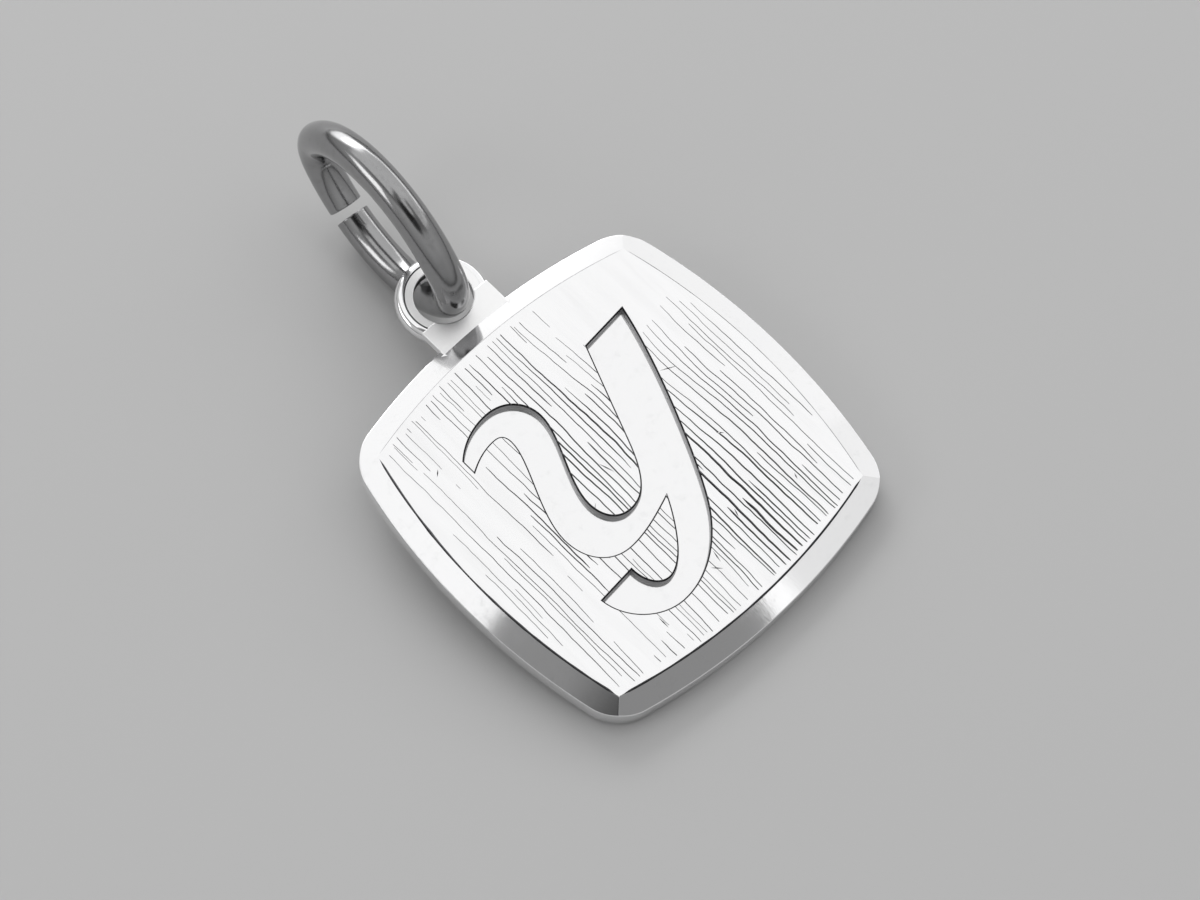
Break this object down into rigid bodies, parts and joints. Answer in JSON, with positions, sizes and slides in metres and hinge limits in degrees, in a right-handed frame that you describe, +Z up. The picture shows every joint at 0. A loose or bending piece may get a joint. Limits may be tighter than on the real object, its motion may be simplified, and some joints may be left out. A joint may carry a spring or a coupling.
{
  "type": "initial pendant",
  "caption": "Small cushion-shaped silver charm with bevelled borders and a sunk initial, lying face up with an oval jump ring through its eye.",
  "frame": {"origin": "on the surface that the pendant lies on, under the middle of its bounding box", "axes": "+X to the letter's right, +Y from the plate to the jump ring, +Z up"},
  "size_m": [0.013, 0.021, 0.0059],
  "materials": {
    "plaque_silver": "polished silver, face engraved with fine lines",
    "ring_silver": "polished silver"
  },
  "bodies": {
    "root": {"plaque": "plaque_silver", "bail_ring": "ring_silver"}
  },
  "joints": []
}
